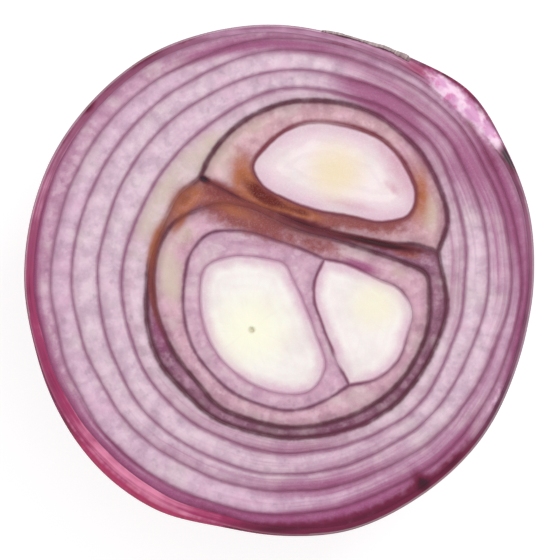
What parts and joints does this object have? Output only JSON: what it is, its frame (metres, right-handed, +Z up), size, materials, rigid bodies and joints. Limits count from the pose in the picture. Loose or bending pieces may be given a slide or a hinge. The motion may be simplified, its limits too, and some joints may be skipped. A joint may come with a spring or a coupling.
{
  "type": "red onion half",
  "caption": "Half of a red onion cut across, resting cut face up on its root plate, with nested fleshy scales round daughter bulbs and pale hearts.",
  "frame": {"origin": "on the floor, under the middle of the onion's bounding box; the flat foot of the root plate lies at z = 0", "axes": "+Z up, out of the cut face; +Y towards the top of the picture and +X towards its right"},
  "size_m": [0.0763, 0.0765, 0.036],
  "materials": {
    "skin": "glossy purple-red onion skin over firm flesh",
    "flesh": "wet translucent pale lilac-pink flesh with purple edges",
    "stained_flesh": "wet beige-pink flesh with orange-brown stains",
    "dark_flesh": "wet mauve flesh with dark maroon edges",
    "heart": "wet cream-white young leaves, yellow-green in the middle",
    "dry_skin": "thin dry papery skin",
    "root": "dry fibrous tan root plate with trimmed roots"
  },
  "bodies": {
    "root": {"outer_scale": "skin", "scale_1": "flesh", "scale_2": "flesh", "scale_3": "flesh", "scale_4": "flesh", "scale_5": "flesh", "upper_bulb_scale": "stained_flesh", "upper_heart": "heart", "lower_thin_scale": "dark_flesh", "lower_scale": "stained_flesh", "left_heart_scale": "flesh", "left_heart": "heart", "right_heart": "heart", "dry_skin_scrap": "dry_skin", "root_plate": "root"}
  },
  "joints": []
}
